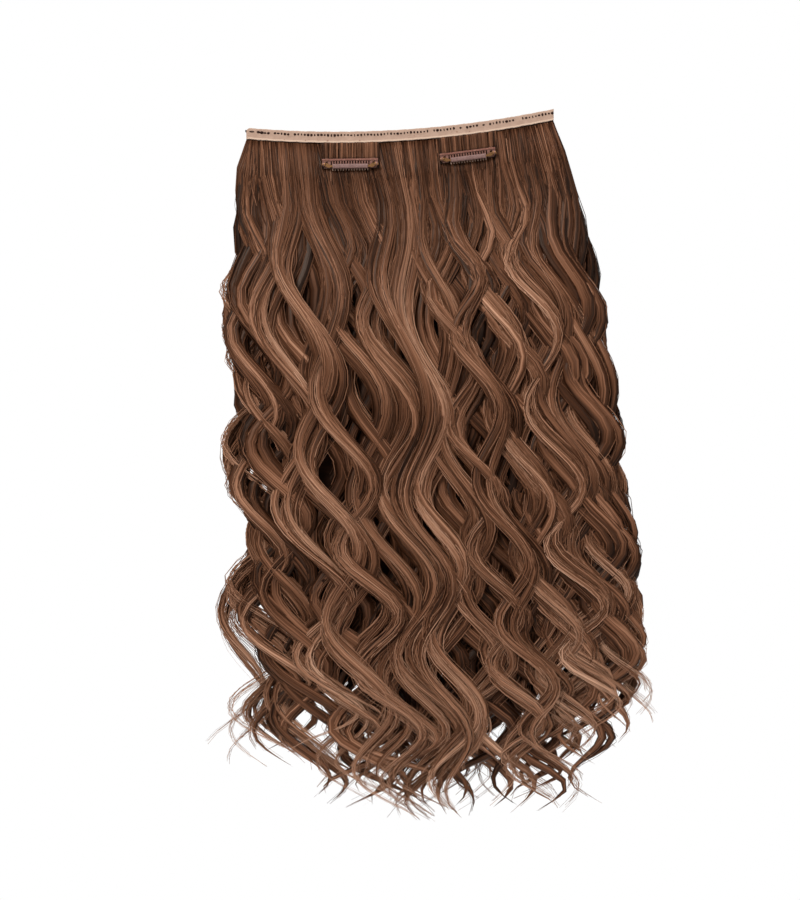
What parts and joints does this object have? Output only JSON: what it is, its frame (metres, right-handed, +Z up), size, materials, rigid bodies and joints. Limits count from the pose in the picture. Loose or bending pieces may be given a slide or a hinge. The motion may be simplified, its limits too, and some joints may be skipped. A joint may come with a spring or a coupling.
{
  "type": "clip-in hair extension",
  "caption": "Long wavy brown hair on a folded tan tape, with sewn-on snap clips whose sleeved bars swing open.",
  "frame": {"origin": "middle of the tape's top edge, where the piece hangs", "axes": "+X along the tape to the right as seen from the clips' side, +Z up along the hair, the clips face -Y"},
  "size_m": [0.2965, 0.0538, 0.4821],
  "materials": {
    "tape": "matt woven tape",
    "hair": "glossy fine fibre",
    "tab": "flat laid fibre",
    "enamel": "satin enamel",
    "brass": "worn satin",
    "silicone": "satin"
  },
  "bodies": {
    "weft": {"weft_tape": "tape", "hair_fall": "hair", "clip_tab_left": "tab", "clip_tab_right": "tab", "comb_left": "enamel", "comb_right": "enamel", "pivot_pin_left_left": "brass", "pivot_pin_left_right": "brass", "pivot_pin_right_left": "brass", "pivot_pin_right_right": "brass"},
    "snap_left": {"snap_bar_left": "brass", "sleeve_left": "silicone"},
    "snap_right": {"snap_bar_right": "brass", "sleeve_right": "silicone"}
  },
  "joints": [
    {"name": "snap_left_open", "type": "hinge", "parent": "weft", "child": "snap_left", "pos_m": [-0.03385, -0.0041, -0.02387], "axis": [-0.9999, 0, -0.0134], "range_deg": [0, 75]},
    {"name": "snap_right_open", "type": "hinge", "parent": "weft", "child": "snap_right", "pos_m": [0.04619, -0.0041, -0.01829], "axis": [-0.9922, 0, -0.1249], "range_deg": [0, 75]}
  ]
}
